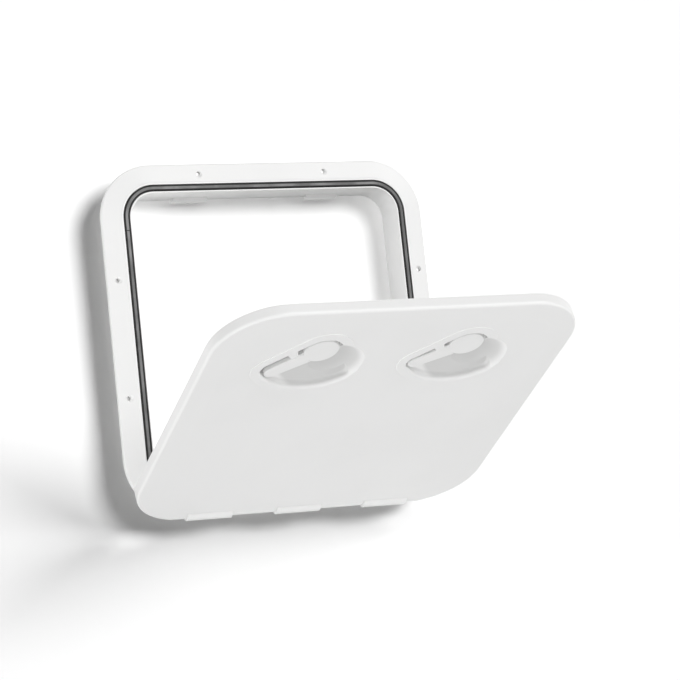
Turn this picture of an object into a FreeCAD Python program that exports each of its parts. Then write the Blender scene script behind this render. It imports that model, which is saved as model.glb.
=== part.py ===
"""Square deck hatch: a screwed-down frame with a rubber seal and a hinged lid with two turn latches.

Millimetres. The origin is the centre of the opening on the deck plane, which is the underside of the
flange. X runs along the hinge, Y from the hinge to the free side, Z up out of the deck.
"""
import FreeCAD, Part
import math
import os

import Sketcher
from FreeCAD import Placement, Rotation, Vector

# Driving sizes of the hatch
SIZES = {
    # plan: the opening's half width, and how far the flange and the lid reach past its seal
    "opening_half": 149.5,
    "corner_radius": 26.0,
    "flange_width": 21.8,
    "lid_overhang": 7.5,
    "panel_border": 22.0,
    # frame section
    "flange_edge": 4.5,
    "edge_bevel": 1.0,
    "ridge_top": 10.0,
    "ridge_land": 1.4,
    "groove_width": 7.3,
    "groove_depth": 4.5,
    "lip_width": 1.4,
    "lip_bevel": 0.4,
    "wall_draft": 0.5,
    "wall_thickness": 2.9,
    "coaming_depth": 28.0,
    "relief_depth": 1.5,
    "rim_foot": 3.5,
    # seal
    "seal_gap": 0.6,
    "seal_height": 5.0,
    "seal_crown": 0.8,
    # fixing holes
    "screw_inset": 10.5,
    "hole_inset_x": 53.0,
    "hole_inset_y": 63.0,
    "hole_radius": 2.2,
    "sink_width": 1.3,
    "boss_radius": 6.5,
    # hinge
    "axis_offset": 0.4,
    "axis_height": 8.2,
    "barrel_radius": 5.7,
    "knuckle_radius": 8.0,
    "hinge_inset": 1.5,
    "knuckle_gap": 0.5,
    "swing_gap": 0.5,
    "pin_radius": 2.0,
    "pin_fit": 0.02,
    "pin_clearance": 0.05,
    "pin_bite": 22.0,
    "trough_run": 32.5,
    "web_back": 3.6,
    "web_front": 9.0,
    # lid
    "skin": 3.0,
    "skirt_thickness": 2.6,
    "skirt_foot": 0.9,
    "edge_fall": 1.0,
    "lid_round": 3.0,
    "skirt_relief": 8.0,
    "rib_thickness": 2.2,
    "rib_depth": 6.0,
    "rib_inset": 5.0,
    "rib_pitch": 72.0,
    # latch
    "latch_reach_x": 75.0,
    "latch_back": 64.9,
    "head_radius": 17.5,
    "head_gap": 3.5,
    "blade_gap": 1.3,
    "blade_tip": 7.0,
    "blade_neck": 9.5,
    "neck_start": 15.0,
    "lever_thickness": 4.5,
    "lever_sink": 1.0,
    "lever_bevel": 0.9,
    "fan_radius": 60.8,
    "fan_corner": 12.0,
    "fan_tip": 9.0,
    "wall_angle": 223.3,
    "pocket_depth": 7.0,
    "pocket_round": 3.2,
    "pocket_wall": 2.4,
    "stop_reach": 8.2,
    "stop_from": 15.0,
    "stop_width": 11.0,
    "stop_slant": 4.0,
    "stop_depth": 4.0,
    "scoop_reach": 33.0,
    "scoop_depth": 11.5,
    "scoop_foot": 18.0,
    "scoop_x": 17.0,
    "scoop_y": -22.0,
    "raised_width": 9.5,
    "raised_height": 0.6,
    "raised_round": 0.5,
    "spindle_radius": 5.0,
    "running_clearance": 0.05,
    "latch_boss_radius": 9.0,
    "latch_boss_foot": -16.0,
    "ring_section": 1.05,
    "ring_seat_depth": 2.6,
    "end_float": 0.2,
    "thrust_thickness": 1.0,
    "square_side": 7.0,
    "square_fit": 0.05,
    "cam_thickness": 3.5,
    "cam_width": 14.0,
    "cam_wall_gap": 1.6,
    "cam_hub_radius": 8.5,
    "screw_radius": 2.0,
    "screw_length": 12.0,
    "screw_head_radius": 4.0,
    "screw_head_flat": 2.8,
    "screw_head_height": 2.4,
    "screw_head_rim": 1.2,
    "washer_radius": 6.5,
    "washer_thickness": 1.0,
    # strikes under which the cams turn
    "strike_length": 40.0,
    "strike_reach": 5.0,
    "strike_thickness": 4.0,
    "strike_top": -16.0,
    "strike_chamfer": 4.5,
    "strike_notch": 2.5,
    "strike_gap": 0.4,
    # pose of the photograph
    "lid_angle": 65.8,
    "lever_rest_left": 220.7,
    "lever_rest_right": 215.0,
    "lever_closed": 308.3,
}

LEFT = -1
RIGHT = 1
# the hinge is a row of segments, the frame's and the lid's by turns
SEGMENTS = 5
# a round square path has a straight at each side, one of them in two halves, and four corners
PATH_EDGES = 9
# two lengths closer than this are the same
SAME = 0.01
# degrees by which the recess's crisp and soft runs of wall meet at a corner
KINK = 5.0

doc = FreeCAD.newDocument("deck_hatch")
sheet = doc.addObject("Spreadsheet::Sheet", "sizes")
for row, (alias, value) in enumerate(SIZES.items(), start=1):
    sheet.set(f"A{row}", alias)
    sheet.set(f"B{row}", str(value))
    sheet.setAlias(f"B{row}", alias)
doc.recompute()


class Size:
    """A length that knows both its number and the sheet formula that drives it."""

    def __init__(self, value, formula):
        self.value = float(value)
        self.formula = formula

    @staticmethod
    def of(other):
        if isinstance(other, Size):
            return other
        return Size(other, repr(float(other)))

    def __add__(self, other):
        other = Size.of(other)
        return Size(self.value + other.value, f"({self.formula} + {other.formula})")

    def __sub__(self, other):
        other = Size.of(other)
        return Size(self.value - other.value, f"({self.formula} - {other.formula})")

    def __mul__(self, other):
        other = Size.of(other)
        return Size(self.value * other.value, f"({self.formula} * {other.formula})")

    def __truediv__(self, other):
        other = Size.of(other)
        return Size(self.value / other.value, f"({self.formula} / {other.formula})")

    def root(self):
        return Size(math.sqrt(self.value), f"sqrt({self.formula})")

    def __neg__(self):
        return Size(-self.value, f"(0 - {self.formula})")

    def __radd__(self, other):
        return Size.of(other) + self

    def __rsub__(self, other):
        return Size.of(other) - self

    def __rmul__(self, other):
        return Size.of(other) * self


class Sheet:
    """Reads a driving size from the spreadsheet by its alias."""

    def __getattr__(self, alias):
        return Size(sheet.get(alias), f"sizes.{alias}")


S = Sheet()


# Sketching helpers
def new_body(label):
    body = doc.addObject("PartDesign::Body", label)
    body.Label = label
    return body


def new_sketch(body, name, role, lift=None):
    plane = next(o for o in body.Origin.OriginFeatures if o.Role == role)
    sketch = body.newObject("Sketcher::SketchObject", name)
    sketch.AttachmentSupport = [(plane, "")]
    sketch.MapMode = "FlatFace"
    if lift is not None:
        sketch.setExpression(".AttachmentOffset.Base.z", Size.of(lift).formula)
    return sketch


def measure(sketch, kind, size, *ends):
    """Adds a driving constraint whose value comes from the sheet."""
    size = Size.of(size)
    index = sketch.addConstraint(Sketcher.Constraint(kind, *ends, size.value))
    sketch.setExpression(f"Constraints[{index}]", size.formula)


def outline(sketch, corners, bends=None):
    """Draws a closed outline through corners; bends maps an edge's number to (radius, centre side)."""
    bends = bends or {}
    corners = [(Size.of(x), Size.of(y)) for x, y in corners]
    points = [Vector(x.value, y.value, 0) for x, y in corners]
    starts = []
    ends = []
    for n, (start, end) in enumerate(zip(points, points[1:] + points[:1])):
        if n not in bends:
            geo = sketch.addGeometry(Part.LineSegment(start, end), False)
            starts.append((geo, 1))
            ends.append((geo, 2))
            continue
        radius, side = bends[n]
        radius = Size.of(radius)
        chord = end - start
        normal = Vector(-chord.y, chord.x, 0) * (side / chord.Length)
        rise = math.sqrt(max(radius.value**2 - (chord.Length / 2) ** 2, 0.0))
        centre = (start + end) * 0.5 + normal * rise
        first, last = (start, end) if side > 0 else (end, start)
        angles = [math.atan2(p.y - centre.y, p.x - centre.x) for p in (first, last)]
        circle = Part.Circle(centre, Vector(0, 0, 1), radius.value)
        geo = sketch.addGeometry(Part.ArcOfCircle(circle, *angles), False)
        starts.append((geo, 1 if side > 0 else 2))
        ends.append((geo, 2 if side > 0 else 1))
        measure(sketch, "Radius", radius, geo)
    for n, (x, y) in enumerate(corners):
        previous = ends[n - 1]
        sketch.addConstraint(Sketcher.Constraint("Coincident", *previous, *starts[n]))
        measure(sketch, "DistanceX", x, -1, 1, *starts[n])
        measure(sketch, "DistanceY", y, -1, 1, *starts[n])


def ring_outline(sketch, half, centre):
    """A square with round corners, started half way up its right side."""
    radius = half - centre
    corners = [
        (half, 0), (half, centre), (centre, half), (-centre, half), (-half, centre),
        (-half, -centre), (-centre, -half), (centre, -half), (half, -centre),
    ]
    bends = {n: (radius, 1) for n in (1, 3, 5, 7)}
    outline(sketch, corners, bends)


def circle(sketch, x, y, radius):
    x, y, radius = Size.of(x), Size.of(y), Size.of(radius)
    shape = Part.Circle(Vector(x.value, y.value, 0), Vector(0, 0, 1), radius.value)
    geo = sketch.addGeometry(shape, False)
    measure(sketch, "DistanceX", x, -1, 1, geo, 3)
    measure(sketch, "DistanceY", y, -1, 1, geo, 3)
    measure(sketch, "Radius", radius, geo)


def box_outline(sketch, low_x, low_y, high_x, high_y):
    outline(sketch, [(low_x, low_y), (high_x, low_y), (high_x, high_y), (low_x, high_y)])


# Feature helpers
def pad(body, sketch, length, reverse=False, symmetric=False):
    feature = body.newObject("PartDesign::Pad", sketch.Name + "_pad")
    feature.Profile = sketch
    feature.setExpression("Length", Size.of(length).formula)
    feature.Reversed = reverse
    if symmetric:
        feature.SideType = "Symmetric"
    doc.recompute()
    return feature


def pocket(body, sketch, length, reverse=False, symmetric=False):
    before = body.Shape.Volume
    feature = body.newObject("PartDesign::Pocket", sketch.Name + "_cut")
    feature.Profile = sketch
    feature.setExpression("Length", Size.of(length).formula)
    feature.Reversed = reverse
    if symmetric:
        feature.SideType = "Symmetric"
    doc.recompute()
    if body.Shape.Volume >= before:
        raise RuntimeError(f"{feature.Name} cuts nothing")
    return feature


def ring(body, name, section, half):
    """Sweeps a section, drawn on the plane across the right side, round the square path."""
    path = new_sketch(body, name + "_path", "XY_Plane")
    ring_outline(path, half, CORNER_CENTRE)
    profile = new_sketch(body, name + "_section", "XZ_Plane")
    section(profile)
    doc.recompute()
    feature = body.newObject("PartDesign::AdditivePipe", name)
    feature.Profile = profile
    feature.Spine = (path, [f"Edge{n + 1}" for n in range(PATH_EDGES)])
    feature.Mode = "Frenet"
    doc.recompute()
    return feature


def turn(body, sketch, x=0, cut=False):
    """Turns a profile about the upright line at x in its own sketch."""
    kind = "PartDesign::Groove" if cut else "PartDesign::Revolution"
    before = body.Shape.Volume if cut else 0.0
    x = Size.of(x)
    axis = sketch.addGeometry(Part.LineSegment(Vector(x.value, -1, 0), Vector(x.value, 1, 0)), True)
    sketch.addConstraint(Sketcher.Constraint("Vertical", axis))
    measure(sketch, "DistanceX", x, -1, 1, axis, 1)
    doc.recompute()
    feature = body.newObject(kind, sketch.Name + "_turn")
    feature.Profile = sketch
    feature.ReferenceAxis = (sketch, ["Axis0"])
    feature.Angle = 360.0
    doc.recompute()
    if cut and body.Shape.Volume >= before:
        raise RuntimeError(f"{feature.Name} cuts nothing")
    return feature


def dress(body, base, picked, kind, size):
    """Rounds or bevels the edges of base for which picked is true; kind is Fillet or Chamfer."""
    names = [f"Edge{n + 1}" for n, edge in enumerate(base.Shape.Edges) if picked(edge)]
    if not names:
        raise RuntimeError(f"{base.Name} has no such edges")
    feature = body.newObject("PartDesign::" + kind, f"{base.Name}_{kind.lower()}")
    feature.Base = (base, names)
    feature.setExpression("Radius" if kind == "Fillet" else "Size", Size.of(size).formula)
    doc.recompute()
    return feature


# Heights and places that several pieces share
SEAL_HALF = S.opening_half + S.lip_width + S.groove_width
FLANGE_HALF = SEAL_HALF + S.flange_width
LID_HALF = FLANGE_HALF + S.lid_overhang
CORNER_CENTRE = S.opening_half - S.corner_radius
AXIS_Y = -(FLANGE_HALF + S.axis_offset)
AXIS_Z = S.axis_height
LID_TOP = AXIS_Z + S.barrel_radius
LID_INSIDE = LID_TOP - S.skin
GROOVE_FLOOR = S.ridge_top - S.groove_depth
GROOVE_INNER = SEAL_HALF - S.groove_width
WALL_TOP = S.opening_half
WALL_BOTTOM = WALL_TOP - S.wall_draft
LATCH_Y = LID_HALF - S.latch_back
RAISED_TOP = LID_TOP + S.raised_height
BLADE_LENGTH = S.fan_radius - S.blade_gap - S.blade_tip
POCKET_FLOOR = LID_TOP - S.pocket_depth
LEVER_TOP = LID_TOP - S.lever_sink
LEVER_FOOT = LEVER_TOP - S.lever_thickness
STRIKE_FOOT = S.strike_top - S.strike_thickness
CAM_TOP = STRIKE_FOOT - S.strike_gap
CAM_FOOT = CAM_TOP - S.cam_thickness
THRUST_TOP = S.latch_boss_foot - S.end_float
THRUST_FOOT = THRUST_TOP - S.thrust_thickness
CAM_REACH = WALL_BOTTOM - LATCH_Y - S.cam_wall_gap
HINGE_LENGTH = 2 * (CORNER_CENTRE - S.hinge_inset)
KNUCKLE = HINGE_LENGTH / SEGMENTS
SCREW_LINE = FLANGE_HALF - S.screw_inset
THROUGH = 2 * LID_HALF


def segment_starts():
    """The hinge segments from left to right, each as its starting X."""
    return [KNUCKLE * (n - SEGMENTS / 2) for n in range(SEGMENTS)]


def frame_section(sketch):
    """Coaming wall, hollow flange with its rim foot, sloping top, ridge, seal groove and inner lip."""
    wall_outside = WALL_TOP + S.wall_thickness
    rim_inside = FLANGE_HALF - S.rim_foot
    slope_end = SEAL_HALF + S.ridge_land
    outline(sketch, [
        (WALL_BOTTOM, -S.coaming_depth),
        (WALL_BOTTOM + S.wall_thickness, -S.coaming_depth),
        (wall_outside, S.relief_depth),
        (rim_inside, S.relief_depth),
        (rim_inside, 0),
        (FLANGE_HALF, 0),
        (FLANGE_HALF, S.flange_edge - S.edge_bevel),
        (FLANGE_HALF - S.edge_bevel, S.flange_edge),
        (slope_end + S.ridge_land, S.ridge_top - S.ridge_land / 2),
        (slope_end, S.ridge_top),
        (SEAL_HALF, S.ridge_top),
        (SEAL_HALF, GROOVE_FLOOR),
        (GROOVE_INNER, GROOVE_FLOOR),
        (GROOVE_INNER, S.ridge_top),
        (WALL_TOP + S.lip_bevel, S.ridge_top),
        (WALL_TOP, S.ridge_top - S.lip_bevel),
    ])


def hole_places():
    """Centres of the eight fixing holes: two on each side."""
    places = []
    for across in (LEFT, RIGHT):
        for along in (LEFT, RIGHT):
            places.append((across * (CORNER_CENTRE - S.hole_inset_x), along * SCREW_LINE))
            places.append((across * SCREW_LINE, along * (CORNER_CENTRE - S.hole_inset_y)))
    return places


def hole_profile(sketch, x):
    """Half of a countersunk hole down through the sloping flange."""
    slope_foot = FLANGE_HALF - S.edge_bevel
    slope_head = SEAL_HALF + 2 * S.ridge_land
    rise = S.ridge_top - S.ridge_land / 2 - S.flange_edge
    mouth = S.flange_edge + rise * (slope_foot - SCREW_LINE) / (slope_foot - slope_head)
    above = S.ridge_top - mouth
    outline(sketch, [
        (x, -S.ridge_top),
        (x + S.hole_radius, -S.ridge_top),
        (x + S.hole_radius, mouth - S.sink_width),
        (x + S.hole_radius + S.sink_width + above, S.ridge_top),
        (x, S.ridge_top),
    ])


def make_frame():
    """One moulding: flange, coaming, two strikes, three hinge knuckles and eight holes."""
    body = new_body("frame")
    ring(body, "flange", frame_section, SEAL_HALF)

    bosses = new_sketch(body, "hole_bosses", "XY_Plane")
    for x, y in hole_places():
        circle(bosses, x, y, S.boss_radius)
    pad(body, bosses, S.flange_edge)

    for side in (LEFT, RIGHT):
        name = "strike_left" if side == LEFT else "strike_right"
        strike = new_sketch(body, name, "XY_Plane", S.strike_top)
        middle = side * S.latch_reach_x
        back = WALL_BOTTOM + S.wall_thickness / 2
        front = WALL_BOTTOM - S.strike_reach
        low = middle - S.strike_length / 2
        high = middle + S.strike_length / 2
        lead_in = [(high - S.strike_chamfer, front), (high, front + S.strike_chamfer)]
        outline(strike, [
            (low, front),
            *(lead_in if side == RIGHT else [(high, front)]),
            (high, back),
            (low + S.strike_notch, back),
            (low + S.strike_notch, WALL_BOTTOM - S.strike_reach / 2),
            (low, WALL_BOTTOM - S.strike_reach / 2),
        ])
        pad(body, strike, S.strike_thickness, reverse=True)

    trough = new_sketch(body, "hinge_trough", "YZ_Plane")
    circle(trough, AXIS_Y, AXIS_Z, S.barrel_radius + S.swing_gap)
    pocket(body, trough, 2 * (CORNER_CENTRE + S.trough_run), symmetric=True)

    for n, start in enumerate(segment_starts()):
        if n % 2:
            continue
        web = new_sketch(body, f"knuckle_web_{n}", "YZ_Plane", start + S.knuckle_gap / 2)
        box_outline(web, AXIS_Y - S.web_back, 0, AXIS_Y + S.web_front, S.relief_depth + S.edge_bevel)
        pad(body, web, KNUCKLE - S.knuckle_gap)
        knuckle = new_sketch(body, f"knuckle_{n}", "YZ_Plane", start + S.knuckle_gap / 2)
        circle(knuckle, AXIS_Y, AXIS_Z, S.knuckle_radius)
        pad(body, knuckle, KNUCKLE - S.knuckle_gap)

    bore = new_sketch(body, "pin_bore", "YZ_Plane")
    circle(bore, AXIS_Y, AXIS_Z, S.pin_radius + S.pin_fit)
    pocket(body, bore, THROUGH, symmetric=True)

    for number, (x, y) in enumerate(hole_places()):
        hole = new_sketch(body, f"fixing_hole_{number}", "XZ_Plane", -y)
        hole_profile(hole, x)
        turn(body, hole, x, cut=True)
    return body


def make_seal():
    """Rubber strip laid in the groove, a little narrower than it and standing just proud."""
    body = new_body("seal")
    low = GROOVE_INNER + S.seal_gap
    high = SEAL_HALF - S.seal_gap
    top = GROOVE_FLOOR + S.seal_height

    def section(sketch):
        outline(sketch, [
            (low, GROOVE_FLOOR), (high, GROOVE_FLOOR), (high, top - S.seal_crown),
            (high - S.seal_crown, top), (low + S.seal_crown, top), (low, top - S.seal_crown),
        ])

    ring(body, "strip", section, high)
    return body


def lid_section(sketch):
    """Rim of the lid from the panel's border: falling face, rounded edge and hanging skirt."""
    edge = LID_TOP - S.edge_fall
    panel_half = LID_HALF - S.panel_border
    outline(sketch, [
        (panel_half, LID_INSIDE),
        (LID_HALF - S.skirt_thickness - S.lid_round, LID_INSIDE),
        (LID_HALF - S.skirt_thickness, LID_INSIDE - S.lid_round),
        (LID_HALF - S.skirt_thickness, S.skirt_foot),
        (LID_HALF, S.skirt_foot),
        (LID_HALF, edge - S.lid_round),
        (LID_HALF - S.lid_round, edge),
        (panel_half, LID_TOP),
    ], {5: (S.lid_round, 1)})


def polar(angle, reach=1.0):
    return Vector(reach * math.cos(math.radians(angle)), reach * math.sin(math.radians(angle)), 0)


def fan_outline(sketch, side, grow):
    """The latch recess, round about the lever's two ends: a head, a left wall, a corner, an arc and a tip."""
    grow = Size.of(grow).value
    x = side * S.latch_reach_x
    head = (S.head_radius + S.head_gap).value + grow
    reach = S.fan_radius.value + grow
    corner = S.fan_corner.value + grow
    tip = S.fan_tip.value + grow
    wall_normal = polar(S.wall_angle.value - 90)
    offset = head - corner
    along = math.sqrt((reach - corner) ** 2 - offset**2)
    corner_middle = polar(S.wall_angle.value, along) + wall_normal * offset
    turn_in = math.degrees(math.atan2(offset, along))
    tip_middle = polar(S.lever_closed.value, reach - tip)
    lean = math.degrees(math.acos((head - tip) / (reach - tip)))
    tip_normal = polar(S.lever_closed.value + lean)
    points = [
        wall_normal * head,
        corner_middle + wall_normal * corner,
        polar(S.wall_angle.value - turn_in + KINK, reach),
        polar(S.lever_closed.value, reach),
        tip_middle + tip_normal * tip,
        polar(S.lever_closed.value + lean - 3 * KINK, head),
    ]
    outline(sketch, [(x + point.x, LATCH_Y + point.y) for point in points],
            {1: (corner, 1), 2: (reach, 1), 3: (tip, 1), 5: (head, 1)})


def make_lid():
    """One moulding: panel, rim, hinge barrels, two latch recesses, spindle bosses and ribs."""
    body = new_body("lid")
    ring(body, "rim", lid_section, LID_HALF)
    panel = new_sketch(body, "panel", "XY_Plane", LID_INSIDE)
    ring_outline(panel, LID_HALF - S.panel_border, CORNER_CENTRE)
    pad(body, panel, S.skin)

    # ribs under the panel
    ribs = new_sketch(body, "rib_ring", "XY_Plane", LID_INSIDE - S.rib_depth)
    rib_half = S.opening_half - S.rib_inset
    ring_outline(ribs, rib_half, CORNER_CENTRE)
    ring_outline(ribs, rib_half - S.rib_thickness, CORNER_CENTRE)
    pad(body, ribs, S.rib_depth + S.skin / 2)
    for n in (-1, 0, 1):
        rib = new_sketch(body, f"rib_{n + 2}", "XY_Plane", LID_INSIDE - S.rib_depth)
        middle = n * S.rib_pitch
        box_outline(rib, middle - S.rib_thickness / 2, -rib_half + S.rib_thickness / 2,
                    middle + S.rib_thickness / 2, rib_half - S.rib_thickness / 2)
        pad(body, rib, S.rib_depth + S.skin / 2)

    # the skirt is left out along the hinge, and the edge there is rounded about the pin
    relief = new_sketch(body, "skirt_relief", "YZ_Plane")
    box_outline(relief, AXIS_Y - S.skirt_relief * 2, -S.axis_height, AXIS_Y + S.skirt_relief, LID_INSIDE)
    pocket(body, relief, THROUGH + LID_HALF, symmetric=True)
    edge = new_sketch(body, "hinge_edge", "YZ_Plane")
    outline(edge, [
        (AXIS_Y, LID_TOP),
        (AXIS_Y - S.barrel_radius, AXIS_Z),
        (AXIS_Y - S.barrel_radius, AXIS_Z - S.skin),
        (AXIS_Y - S.skirt_relief * 2, AXIS_Z - S.skin),
        (AXIS_Y - S.skirt_relief * 2, LID_TOP + S.skin),
        (AXIS_Y, LID_TOP + S.skin),
    ], {0: (S.barrel_radius, 1)})
    pocket(body, edge, THROUGH + LID_HALF, symmetric=True)
    lip = new_sketch(body, "hinge_lip", "YZ_Plane")
    inner = S.barrel_radius - S.skin
    outline(lip, [
        (AXIS_Y + S.skin, LID_INSIDE + S.skin / 2),
        (AXIS_Y, LID_TOP),
        (AXIS_Y - S.barrel_radius, AXIS_Z),
        (AXIS_Y - inner, AXIS_Z),
        (AXIS_Y, LID_INSIDE),
        (AXIS_Y + S.skin, LID_INSIDE),
    ], {1: (S.barrel_radius, 1), 3: (inner, -1)})
    pad(body, lip, HINGE_LENGTH + KNUCKLE / 2, symmetric=True)

    # barrels between the frame's knuckles
    for n, start in enumerate(segment_starts()):
        if n % 2 == 0:
            continue
        barrel = new_sketch(body, f"barrel_{n}", "YZ_Plane", start + S.knuckle_gap / 2)
        circle(barrel, AXIS_Y, AXIS_Z, S.barrel_radius)
        pad(body, barrel, KNUCKLE - S.knuckle_gap)
    for n, start in enumerate(segment_starts()):
        if n % 2:
            continue
        notch = new_sketch(body, f"knuckle_notch_{n}", "YZ_Plane", start - S.knuckle_gap / 2)
        circle(notch, AXIS_Y, AXIS_Z, S.knuckle_radius + S.swing_gap)
        pocket(body, notch, KNUCKLE + S.knuckle_gap, reverse=True)
    bore = new_sketch(body, "pin_bore_lid", "YZ_Plane")
    circle(bore, AXIS_Y, AXIS_Z, S.pin_radius + S.pin_clearance)
    pocket(body, bore, THROUGH, symmetric=True)

    for side in (LEFT, RIGHT):
        make_recess(body, side)
    return body


def make_recess(body, side):
    """Tub of one latch under the panel, its spindle boss, and the recess with stop and finger scoop."""
    name = "left" if side == LEFT else "right"
    x = side * S.latch_reach_x
    tub = new_sketch(body, f"tub_{name}", "XY_Plane", POCKET_FLOOR - S.pocket_wall)
    fan_outline(tub, side, S.pocket_wall)
    pad(body, tub, S.pocket_depth + S.pocket_wall - S.skin / 2)

    bulge = new_sketch(body, f"bulge_{name}", "XZ_Plane", -(LATCH_Y + S.scoop_y))
    bulge_profile(bulge, x + S.scoop_x)
    turn(body, bulge, x + S.scoop_x)

    boss = new_sketch(body, f"latch_boss_{name}", "XY_Plane", S.latch_boss_foot)
    circle(boss, x, LATCH_Y, S.latch_boss_radius)
    pad(body, boss, POCKET_FLOOR - S.latch_boss_foot - S.pocket_wall / 2)

    raised = new_sketch(body, f"raised_{name}", "XY_Plane", LID_TOP - S.skin / 2)
    fan_outline(raised, side, S.raised_width)
    plateau = pad(body, raised, S.skin / 2 + S.raised_height)
    dress(body, plateau, lambda edge: is_plateau_edge(edge, side), "Fillet", S.raised_round)

    recess = new_sketch(body, f"recess_{name}", "XY_Plane", RAISED_TOP)
    fan_outline(recess, side, 0)
    cut = pocket(body, recess, S.pocket_depth + S.raised_height)

    dress(body, cut, lambda edge: is_soft_edge(edge, side), "Fillet", S.pocket_round)

    scoop = new_sketch(body, f"scoop_{name}", "XZ_Plane", -(LATCH_Y + S.scoop_y))
    scoop_profile(scoop, x + S.scoop_x)
    turn(body, scoop, x + S.scoop_x, cut=True)

    stop = new_sketch(body, f"stop_{name}", "XY_Plane", RAISED_TOP)
    stop_outline(stop, side)
    pad(body, stop, S.stop_depth + S.raised_height, reverse=True)

    seat = new_sketch(body, f"ring_seat_{name}", "XY_Plane", POCKET_FLOOR)
    circle(seat, x, LATCH_Y, S.spindle_radius + 2 * S.ring_section + 2 * S.running_clearance)
    pocket(body, seat, S.ring_seat_depth)
    bore = new_sketch(body, f"spindle_bore_{name}", "XY_Plane", POCKET_FLOOR)
    circle(bore, x, LATCH_Y, S.spindle_radius + S.running_clearance)
    pocket(body, bore, POCKET_FLOOR - S.latch_boss_foot + S.skin)


def scoop_profile(sketch, x):
    """Half of the ball segment that the finger scoop takes out of the lid's face."""
    depth = S.scoop_depth + S.raised_height
    radius = (S.scoop_reach * S.scoop_reach / depth + depth) / 2
    outline(sketch, [
        (x, RAISED_TOP - depth),
        (x + S.scoop_reach, RAISED_TOP),
        (x, RAISED_TOP),
    ], {0: (radius, 1)})


def bulge_profile(sketch, x):
    """Half of the flat-bottomed cone that carries the bowl's wall under the lid."""
    foot = LID_TOP - S.scoop_depth - S.pocket_wall
    outline(sketch, [
        (x, foot),
        (x + S.scoop_foot, foot),
        (x + S.scoop_reach + S.pocket_wall, LID_TOP - S.skin / 2),
        (x, LID_TOP - S.skin / 2),
    ])


def about_latch(edge, side):
    """Distance and direction, from 0 to 360 degrees past the head, of an edge's middle from the spindle."""
    middle = edge.valueAt((edge.FirstParameter + edge.LastParameter) / 2)
    x = middle.x - side * S.latch_reach_x.value
    y = middle.y - LATCH_Y.value
    return math.hypot(x, y), (math.degrees(math.atan2(y, x)) - 90) % 360


def is_level(edge, height):
    box = edge.BoundBox
    return box.ZLength < SAME and abs(box.ZMin - height.value) < SAME


def is_plateau_edge(edge, side):
    """True for the outer edge of the raised face round the recess."""
    reach, _ = about_latch(edge, side)
    return is_level(edge, RAISED_TOP) and reach < (S.fan_radius + 2 * S.raised_width).value


def is_soft_edge(edge, side):
    """True for the rim and floor edges of the recess on its arc, its tip and its right wall."""
    if not (is_level(edge, POCKET_FLOOR) or is_level(edge, RAISED_TOP)):
        return False
    reach, direction = about_latch(edge, side)
    corner = S.wall_angle.value - 90
    inside = reach < (S.fan_radius + S.raised_width / 2).value
    return inside and corner < direction < S.lever_closed.value + KINK and reach > S.head_radius.value


def stop_outline(sketch, side):
    """Small tab on the left wall that stops the lever."""
    x = side * S.latch_reach_x
    head = (S.head_radius + S.head_gap).value
    along = polar(S.wall_angle.value)
    out = polar(S.wall_angle.value - 90)
    low = S.stop_from.value
    high = (S.stop_from + S.stop_width).value
    root = head + S.pocket_wall.value / 2
    end = head - S.stop_reach.value
    points = [
        along * low + out * root,
        along * high + out * root,
        along * high + out * end,
        along * (low + S.stop_slant.value) + out * end,
    ]
    outline(sketch, [(x + point.x, LATCH_Y + point.y) for point in points])


def make_pins():
    """Two stainless pins, one pressed in from each end of the hinge."""
    length = 2 * KNUCKLE + S.pin_bite
    pins = []
    for n, start in enumerate((-HINGE_LENGTH / 2, HINGE_LENGTH / 2 - length)):
        pin = doc.addObject("Part::Cylinder", f"pin_{n + 1}")
        pin.setExpression("Radius", S.pin_radius.formula)
        pin.setExpression("Height", length.formula)
        pin.Placement = Placement(Vector(0, 0, 0), Rotation(Vector(0, 1, 0), 90))
        pin.setExpression(".Placement.Base.x", start.formula)
        pin.setExpression(".Placement.Base.y", AXIS_Y.formula)
        pin.setExpression(".Placement.Base.z", AXIS_Z.formula)
        pins.append(pin)
    group = doc.addObject("Part::Compound", "hinge_pins")
    group.Links = pins
    group.Label = "hinge_pins"
    doc.recompute()
    return group


def lever_blade(sketch):
    """Blade that narrows from the head to its round tip, pointing along +X."""
    outline(sketch, [
        (S.neck_start, -S.blade_neck),
        (BLADE_LENGTH, -S.blade_tip),
        (BLADE_LENGTH + S.blade_tip, 0),
        (BLADE_LENGTH, S.blade_tip),
        (S.neck_start, S.blade_neck),
    ], {1: (S.blade_tip, 1), 2: (S.blade_tip, 1)})


def make_lever(label):
    """Flat lever with a round head and a spindle whose lower end is square and tapped for a screw."""
    body = new_body(label)
    head = new_sketch(body, label + "_head", "XY_Plane", LEVER_FOOT)
    circle(head, 0, 0, S.head_radius)
    pad(body, head, S.lever_thickness)
    blade = new_sketch(body, label + "_blade", "XY_Plane", LEVER_FOOT)
    lever_blade(blade)
    top = pad(body, blade, S.lever_thickness)
    upper = LEVER_TOP.value

    def on_top(edge):
        return abs(edge.BoundBox.ZMin - upper) < SAME and abs(edge.BoundBox.ZMax - upper) < SAME

    dress(body, top, on_top, "Chamfer", S.lever_bevel)
    shaft = new_sketch(body, label + "_shaft", "XY_Plane", THRUST_FOOT)
    circle(shaft, 0, 0, S.spindle_radius)
    pad(body, shaft, LEVER_FOOT - THRUST_FOOT + S.lever_bevel)
    square = new_sketch(body, label + "_square", "XY_Plane", CAM_FOOT + S.end_float)
    half = S.square_side / 2
    box_outline(square, -half, -half, half, half)
    pad(body, square, THRUST_FOOT - CAM_FOOT)
    tap = new_sketch(body, label + "_tap", "XY_Plane", CAM_FOOT)
    circle(tap, 0, 0, S.screw_radius + S.running_clearance)
    pocket(body, tap, S.screw_length, reverse=True)
    return body


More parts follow.
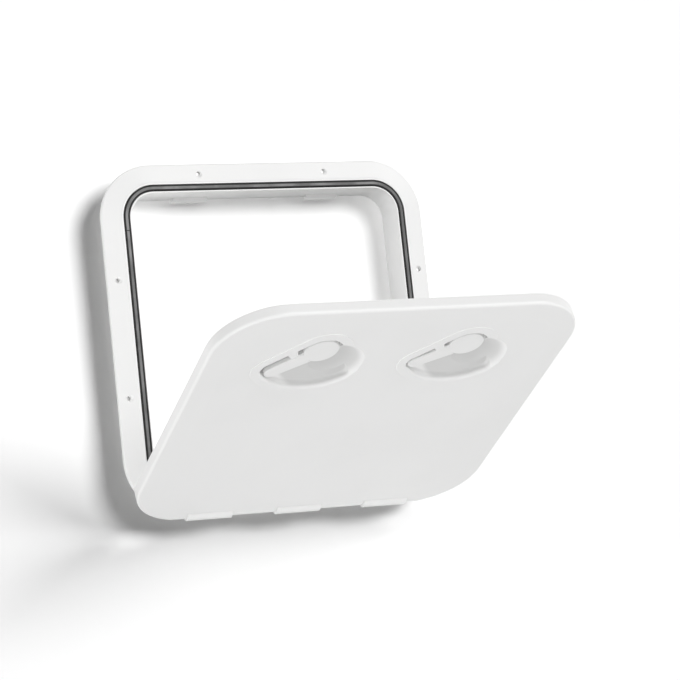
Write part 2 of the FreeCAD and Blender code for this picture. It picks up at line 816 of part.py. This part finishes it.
def make_cam(label):
    """Bar with a square hole; its round tip turns under the strike."""
    body = new_body(label)
    hub = new_sketch(body, label + "_hub", "XY_Plane", CAM_FOOT)
    circle(hub, 0, 0, S.cam_hub_radius)
    pad(body, hub, THRUST_FOOT - CAM_FOOT)
    bar = new_sketch(body, label + "_bar", "XY_Plane", CAM_FOOT)
    half = S.cam_width / 2
    outline(bar, [
        (0, -half), (CAM_REACH - half, -half), (CAM_REACH, 0), (CAM_REACH - half, half), (0, half),
    ], {1: (half, 1), 2: (half, 1)})
    pad(body, bar, S.cam_thickness)
    hole = new_sketch(body, label + "_hole", "XY_Plane", CAM_FOOT)
    inside = S.square_side / 2 + S.square_fit
    turned = math.radians(S.lever_closed.value - 90.0)
    along = math.cos(turned)
    across = math.sin(turned)
    corners = [(-1, -1), (1, -1), (1, 1), (-1, 1)]
    outline(hole, [
        (inside * (along * x - across * y), inside * (across * x + along * y)) for x, y in corners
    ])
    pocket(body, hole, 2 * (THRUST_FOOT - CAM_FOOT), reverse=True)
    return body


def make_disc(label, foot, thickness, outer, inner):
    """Flat washer about the spindle's axis."""
    body = new_body(label)
    face = new_sketch(body, label + "_face", "XY_Plane", foot)
    circle(face, 0, 0, outer)
    circle(face, 0, 0, inner)
    pad(body, face, thickness)
    return body


def make_o_ring(label):
    """Rubber ring about the spindle in the seat under the lever's head, with an eight-sided section."""
    body = new_body(label)
    middle = S.spindle_radius + S.running_clearance + S.ring_section
    height = POCKET_FLOOR - S.ring_seat_depth / 2
    profile = new_sketch(body, label + "_profile", "XZ_Plane")
    flat = S.ring_section * math.tan(math.pi / 8)
    outline(profile, [
        (middle + S.ring_section, height - flat),
        (middle + S.ring_section, height + flat),
        (middle + flat, height + S.ring_section),
        (middle - flat, height + S.ring_section),
        (middle - S.ring_section, height + flat),
        (middle - S.ring_section, height - flat),
        (middle - flat, height - S.ring_section),
        (middle + flat, height - S.ring_section),
    ])
    turn(body, profile)
    return body


def make_cam_screw(label):
    """Pan head screw that holds the cam and its washer on the spindle."""
    body = new_body(label)
    top = CAM_FOOT - S.washer_thickness
    profile = new_sketch(body, label + "_profile", "XZ_Plane")
    outline(profile, [
        (0, top - S.screw_head_height),
        (S.screw_head_flat, top - S.screw_head_height),
        (S.screw_head_radius, top - S.screw_head_rim),
        (S.screw_head_radius, top),
        (S.screw_radius, top),
        (S.screw_radius, CAM_FOOT + S.screw_length - S.washer_thickness),
        (0, CAM_FOOT + S.screw_length - S.washer_thickness),
    ])
    turn(body, profile)
    return body


# Placing the pieces: the lid stands open, and each latch is turned on its spindle
lid_swing = Placement(Vector(0, 0, 0), Rotation(Vector(1, 0, 0), S.lid_angle.value),
                      Vector(0, AXIS_Y.value, AXIS_Z.value))


def latch_placement(side, angle):
    place = Placement(Vector(side * S.latch_reach_x.value, LATCH_Y.value, 0),
                      Rotation(Vector(0, 0, 1), angle))
    return lid_swing.multiply(place)


pieces = [make_frame(), make_seal()]
lid = make_lid()
lid.Placement = lid_swing
pieces.append(lid)
pieces.append(make_pins())

for side, name, rest in ((LEFT, "left", S.lever_rest_left), (RIGHT, "right", S.lever_rest_right)):
    lever_angle = rest.value
    cam_angle = rest.value - S.lever_closed.value + 90.0
    turning = [
        (make_lever(f"lever_{name}"), lever_angle),
        (make_o_ring(f"o_ring_{name}"), lever_angle),
        (make_disc(f"thrust_washer_{name}", THRUST_FOOT, S.thrust_thickness, S.cam_hub_radius,
                   S.spindle_radius + S.running_clearance), lever_angle),
        (make_cam(f"cam_{name}"), cam_angle),
        (make_disc(f"cam_washer_{name}", CAM_FOOT - S.washer_thickness, S.washer_thickness,
                   S.washer_radius, S.screw_radius + S.running_clearance), cam_angle),
        (make_cam_screw(f"cam_screw_{name}"), cam_angle),
    ]
    for piece, angle in turning:
        piece.Placement = latch_placement(side, angle)
        pieces.append(piece)

doc.recompute()

# Nothing is written unless every object and every piece is sound
for item in doc.Objects:
    if "Invalid" in item.State or "Error" in item.State:
        raise RuntimeError(f"{item.Name} failed: {item.State}")
for piece in pieces:
    if piece.Shape.isNull() or not piece.Shape.isValid():
        raise RuntimeError(f"{piece.Label} has no valid shape")

os.makedirs("parts", exist_ok=True)
for piece in pieces:
    piece.Shape.exportStep(f"parts/{piece.Label}.step")
    box = piece.Shape.BoundBox
    print(f"{piece.Label}: solids {len(piece.Shape.Solids)} volume {piece.Shape.Volume:.1f}",
          f"x {box.XMin:.1f} {box.XMax:.1f} y {box.YMin:.1f} {box.YMax:.1f} z {box.ZMin:.1f} {box.ZMax:.1f}")
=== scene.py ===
"""Square deck hatch with its lid open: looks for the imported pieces, and the studio it stands in."""

import math

import bpy
from mathutils import Matrix, Vector

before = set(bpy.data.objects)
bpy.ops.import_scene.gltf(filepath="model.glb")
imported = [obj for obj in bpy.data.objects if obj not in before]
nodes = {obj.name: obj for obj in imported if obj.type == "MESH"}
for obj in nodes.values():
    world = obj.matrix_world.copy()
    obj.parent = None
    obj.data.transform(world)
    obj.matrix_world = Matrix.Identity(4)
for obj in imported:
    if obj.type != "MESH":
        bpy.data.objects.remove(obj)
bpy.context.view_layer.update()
scene = bpy.context.scene
scene.view_settings.view_transform = "Standard"


# Camera
# A long lens looks down on the open hatch from in front and to the left of its hinge, and rolls with the
# way the hatch was laid out for the picture.
right = Vector((0.9142, -0.1046, 0.3917)).normalized()
back = Vector((-0.4028, -0.1261, 0.9066)).normalized()
above = back.cross(right).normalized()
right = above.cross(back).normalized()
aim = Vector((0.0699, -0.0114, 0.0045))
DISTANCE = 2.7323
FOCAL_LENGTH = 137.86
lens = bpy.data.cameras.new("camera")
lens.lens = FOCAL_LENGTH
lens.sensor_width = 36.0
lens.clip_end = 20.0
camera = bpy.data.objects.new("camera", lens)
scene.collection.objects.link(camera)
place = Matrix((right, above, back)).transposed().to_4x4()
place.translation = aim + DISTANCE * back
camera.matrix_world = place
scene.camera = camera


# Floor and light
# A wide pale sheet under the coaming's lower edge, in an even white room. One broad key, high to the right,
# lights hatch and sheet alike, and every piece throws its shadow on the sheet. Three weaker lamps, at either
# side and in front, fill the hatch and are kept off the sheet.
class Wire:
    """One value in a material, whose sums and products add the Math nodes they need."""

    def __init__(self, tree, socket):
        self.tree = tree
        self.socket = socket

    def work(self, operation, *values):
        node = self.tree.nodes.new("ShaderNodeMath")
        node.operation = operation
        for value, socket in zip(values, node.inputs):
            join(self.tree, value, socket)
        return Wire(self.tree, node.outputs[0])

    def __add__(self, other):
        return self.work("ADD", self, other)

    def __radd__(self, other):
        return self.work("ADD", other, self)

    def __sub__(self, other):
        return self.work("SUBTRACT", self, other)

    def __rsub__(self, other):
        return self.work("SUBTRACT", other, self)

    def __mul__(self, other):
        return self.work("MULTIPLY", self, other)

    def __rmul__(self, other):
        return self.work("MULTIPLY", other, self)

    def __abs__(self):
        return self.work("ABSOLUTE", self)

    def most(self, other):
        return self.work("MAXIMUM", self, other)

    def root(self):
        return self.work("SQRT", self)

    def rise(self, low, high):
        """Goes smoothly from 0 at low to 1 at high."""
        node = self.tree.nodes.new("ShaderNodeMapRange")
        node.interpolation_type = "SMOOTHSTEP"
        join(self.tree, self, node.inputs["Value"])
        join(self.tree, low, node.inputs["From Min"])
        join(self.tree, high, node.inputs["From Max"])
        return Wire(self.tree, node.outputs["Result"])


def join(tree, value, socket):
    if isinstance(value, Wire):
        tree.links.new(value.socket, socket)
    else:
        socket.default_value = value


class Finish:
    """A material with one main shader, built up node by node."""

    def __init__(self, name, **fixed):
        self.material = bpy.data.materials.new(name)
        self.material.use_nodes = True
        self.tree = self.material.node_tree
        self.shader = self.tree.nodes["Principled BSDF"]
        for socket, value in fixed.items():
            self.shader.inputs[socket.replace("_", " ")].default_value = value

    def add(self, kind, settings, sockets, output=0):
        node = self.tree.nodes.new("ShaderNode" + kind)
        for key, value in settings.items():
            setattr(node, key, value)
        for key, value in sockets.items():
            join(self.tree, value, node.inputs[key])
        return Wire(self.tree, node.outputs[output])

    def feed(self, socket, value):
        join(self.tree, value, self.shader.inputs[socket])

    def place(self):
        return self.add("TexCoord", {}, {}, "Object")

    def parts(self, vector):
        node = self.tree.nodes.new("ShaderNodeSeparateXYZ")
        join(self.tree, vector, node.inputs[0])
        return [Wire(self.tree, output) for output in node.outputs]

    def noise(self, vector, scale, detail=2.0):
        return self.add("TexNoise", {}, {"Vector": vector, "Scale": scale, "Detail": detail, "Roughness": 0.5})

    def blend(self, amount, first, second):
        node = self.tree.nodes.new("ShaderNodeMix")
        node.data_type = "RGBA"
        join(self.tree, amount, node.inputs["Factor"])
        join(self.tree, first, node.inputs[6])
        join(self.tree, second, node.inputs[7])
        return Wire(self.tree, node.outputs[2])

    def bump(self, height, strength):
        normal = self.add("Bump", {}, {"Height": height, "Distance": 1.0, "Strength": strength})
        self.feed("Normal", normal)


def seen_directly(tree):
    """1 for camera, glossy and transmission rays, and 0 for the light that falls on the hatch."""
    path = tree.nodes.new("ShaderNodeLightPath")
    camera_ray, glossy_ray, through_ray = (
        Wire(tree, path.outputs[f"Is {kind} Ray"]) for kind in ("Camera", "Glossy", "Transmission"))
    return camera_ray.most(glossy_ray).most(through_ray)


# SHEET_SEEN is brighter than any real sheet, so the sheet reads white under a plain key and keeps its shadow.
FLOOR_HEIGHT = -0.028
FLOOR_WIDTH = 14.0
SHEET = (0.88, 0.88, 0.88, 1.0)
SHEET_SEEN = (1.76, 1.76, 1.76, 1.0)
bpy.ops.object.select_all(action="DESELECT")
bpy.ops.mesh.primitive_plane_add(size=FLOOR_WIDTH, location=(0, 0, FLOOR_HEIGHT))
floor = bpy.context.object
floor.name = "floor"
paper = Finish("paper", Roughness=0.9)
paper.shader.inputs["Specular IOR Level"].default_value = 0.0
paper.feed("Base Color", paper.blend(seen_directly(paper.tree), SHEET, SHEET_SEEN))
floor.data.materials.append(paper.material)

ROOM_LIGHT = 0.06
room = bpy.data.worlds.new("room")
scene.world = room
room.use_nodes = True
background = room.node_tree.nodes["Background"]
background.inputs["Color"].default_value = (1.0, 1.0, 1.0, 1.0)
strength = seen_directly(room.node_tree) * (1.0 - ROOM_LIGHT) + ROOM_LIGHT
join(room.node_tree, strength, background.inputs["Strength"])

hatch = bpy.data.collections.new("hatch")
for node in nodes.values():
    hatch.objects.link(node)


def soft_sun(name, energy, angle, towards):
    sun = bpy.data.lights.new(name, "SUN")
    sun.energy = energy
    sun.angle = math.radians(angle)
    lamp = bpy.data.objects.new(name, sun)
    scene.collection.objects.link(lamp)
    lamp.rotation_euler = Vector(towards).to_track_quat("Z", "Y").to_euler()
    return lamp


soft_sun("key", 2.05, 32, (0.58, 0.41, 0.912))
left_side = soft_sun("left_side", 1.6, 50, (-0.9, 0.0, 0.35))
right_side = soft_sun("right_side", 0.7, 20, (0.85, -0.2, 0.45))
front = soft_sun("front", 1.55, 40, (-0.3, -0.95, 0.2))
for lamp in (left_side, right_side, front):
    lamp.light_linking.receiver_collection = hatch


# Frame
# One injection moulding in white ASA. Its skin is satin, with a fine even grain from the tool, a slight
# unevenness where the thick flange cooled, and a little dust held in the grain.
WHITE = (0.90, 0.90, 0.895, 1.0)
DUSTY = (0.80, 0.80, 0.79, 1.0)


def moulded_white(name, vector=None):
    finish = Finish(name, IOR=1.5)
    where = vector(finish) if vector else finish.place()
    cloud = finish.noise(where, 9.0, 3.0)
    speck = finish.noise(where, 620.0, 2.0)
    grain = finish.noise(where, 1500.0, 1.0)
    dust = cloud.rise(0.42, 0.75) * 0.16 + speck.rise(0.66, 0.74) * 0.22
    tone = finish.blend(dust, WHITE, DUSTY)
    finish.feed("Base Color", tone)
    finish.feed("Roughness", 0.34 + cloud * 0.1 + speck * 0.05)
    finish.bump(grain * 0.00004 + cloud * 0.0004, 0.6)
    return finish, where, tone


def dress(material, *names):
    for name in names:
        nodes[name].data.materials.clear()
        nodes[name].data.materials.append(material)


frame_skin, _, _ = moulded_white("frame_skin")
dress(frame_skin.material, "frame")


# Seal
# A strip of closed-cell rubber pressed into the frame's groove. It is grey on its worn crown, and the near
# black along both edges is painted shade for the narrow gaps between strip and groove walls. Its cut ends
# meet in a butt joint on the left side.
SEAL_MIDDLE = 0.15455
CORNER_CENTRE = 0.1235
SEAL_JOINT = 0.111
EDGE_SHADE_FROM = 0.0012
EDGE_SHADE_FULL = 0.0015
seal_rubber = Finish("seal_rubber", IOR=1.5)
seal_rubber.shader.inputs["Specular IOR Level"].default_value = 0.35
where = seal_rubber.place()
x, y, _ = seal_rubber.parts(where)
out_x = (abs(x) - CORNER_CENTRE).most(0.0)
out_y = (abs(y) - CORNER_CENTRE).most(0.0)
reach = (out_x * out_x + out_y * out_y).root() + CORNER_CENTRE
# The band along both edges of the strip is painted near black as shade for the gaps beside it.
edge = abs(reach - SEAL_MIDDLE).rise(EDGE_SHADE_FROM, EDGE_SHADE_FULL)
joint = (1.0 - abs(y - SEAL_JOINT).rise(0.0003, 0.0006)) * (1.0 - x.rise(-0.01, 0.01))
streak = seal_rubber.noise(where, 34.0, 3.0)
pores = seal_rubber.noise(where, 1400.0, 2.0)
crown = seal_rubber.blend(streak.rise(0.35, 0.7), (0.16, 0.16, 0.16, 1.0), (0.30, 0.30, 0.30, 1.0))
crown = seal_rubber.blend(pores.rise(0.55, 0.72) * 0.5, crown, (0.10, 0.10, 0.10, 1.0))
# The painted edge shade and the dark butt joint share the near-black colour.
seal_rubber.feed("Base Color", seal_rubber.blend(edge.most(joint), crown, (0.018, 0.018, 0.018, 1.0)))
seal_rubber.feed("Roughness", 0.72 + pores * 0.2)
seal_rubber.bump(pores * 0.0001 - edge * 0.0002, 0.8)
dress(seal_rubber.material, "seal")


# Lid
# The second white moulding, with the frame's satin skin. The two latch recesses are coloured a little greyer
# than the face as painted shade for the dark scoops, which the shallower solid doesn't shade.
HINGE = Vector((0.0, -0.1804, 0.0082))
SWING = math.radians(65.8)
RECESS_PAINTED_SHADE = (0.58, 0.58, 0.575, 1.0)
RECESS_SHADE_SHARE = 0.6
RECESS_LEFT = Vector((-0.058, 0.1006, 0.0145))
RECESS_RIGHT = Vector((0.092, 0.1006, 0.0145))


def lid_place(finish):
    """Points of the lid as they lie when it is closed."""
    shift = HINGE - Matrix.Rotation(-SWING, 3, "X") @ HINGE
    return finish.add("Mapping", {"vector_type": "POINT"}, {
        "Vector": finish.place(), "Location": shift, "Rotation": (-SWING, 0.0, 0.0)})


def recess_shade_mask(finish, where, centre):
    """Painted shade mask: 1 on the inner walls and floor of the latch recess round one centre, fading out near
    the lid's face.
    """
    x, y, z = finish.parts(where)
    away_x, away_y = x - centre.x, y - centre.y
    near = 1.0 - (away_x * away_x + away_y * away_y).root().rise(0.046, 0.052)
    middle = HINGE + Matrix.Rotation(SWING, 3, "X") @ (centre - HINGE)
    inwards = finish.add("VectorMath", {"operation": "SUBTRACT"}, {0: middle, 1: finish.place()})
    normal = finish.add("TexCoord", {}, {}, "Normal")
    facing = finish.add("VectorMath", {"operation": "DOT_PRODUCT"}, {0: inwards, 1: normal}, "Value")
    return near * facing.rise(0.0, 0.003) * (1.0 - z.rise(0.0085, 0.0135))


lid_skin, where, tone = moulded_white("lid_skin", lid_place)
recess = recess_shade_mask(lid_skin, where, RECESS_LEFT).most(recess_shade_mask(lid_skin, where, RECESS_RIGHT))
# Paints shade into both latch recesses by greying the face's colour there.
lid_skin.feed("Base Color", lid_skin.blend(recess * RECESS_SHADE_SHARE, tone, RECESS_PAINTED_SHADE))
dress(lid_skin.material, "lid")


# Levers
# Two small white mouldings of the same plastic as the lid, with the same satin skin. Each turns on a spindle
# in its recess.
lever_skin, _, _ = moulded_white("lever_skin", lid_place)
dress(lever_skin.material, "lever_left", "lever_right")


# Cams and thrust washers
# Two nylons: the cams are moulded in a dark one, and the washers in the natural off-white one. Both show fine
# flow lines from the gate.
def moulded_nylon(name, pale, dark):
    nylon = Finish(name, IOR=1.53)
    flow = nylon.noise(nylon.place(), 220.0, 2.0)
    nylon.feed("Base Color", nylon.blend(flow, pale, dark))
    nylon.feed("Roughness", 0.42 + flow * 0.15)
    nylon.bump(flow * 0.00006, 0.6)
    return nylon.material


natural_nylon = moulded_nylon("natural_nylon", (0.80, 0.79, 0.75, 1.0), (0.70, 0.69, 0.64, 1.0))
dark_nylon = moulded_nylon("dark_nylon", (0.07, 0.07, 0.07, 1.0), (0.05, 0.05, 0.05, 1.0))
dress(dark_nylon, "cam_left", "cam_right")
dress(natural_nylon, "thrust_washer_left", "thrust_washer_right")


# Hinge pins, cam washers and screws
# Stainless steel: drawn rod, stamped washers and turned screws, with fine brushed lines.
steel = Finish("steel", Metallic=1.0)
where = steel.place()
lines = steel.add("Mapping", {}, {"Vector": where, "Scale": (1.0, 30.0, 30.0)})
brushed = steel.noise(lines, 160.0, 3.0)
steel.feed("Base Color", steel.blend(brushed, (0.58, 0.58, 0.58, 1.0), (0.72, 0.72, 0.71, 1.0)))
steel.feed("Roughness", 0.22 + brushed * 0.2)
steel.bump(brushed * 0.00002, 0.5)
dress(steel.material, "hinge_pins", "cam_washer_left", "cam_washer_right", "cam_screw_left", "cam_screw_right")


# O-rings
# Black nitrile, matte, with a faint uneven bloom. They are hidden between lid and spindle.
nitrile = Finish("nitrile", IOR=1.5)
where = nitrile.place()
bloom = nitrile.noise(where, 300.0, 2.0)
nitrile.feed("Base Color", nitrile.blend(bloom, (0.02, 0.02, 0.02, 1.0), (0.05, 0.05, 0.05, 1.0)))
nitrile.feed("Roughness", 0.5 + bloom * 0.2)
nitrile.bump(bloom * 0.00003, 0.5)
dress(nitrile.material, "o_ring_left", "o_ring_right")
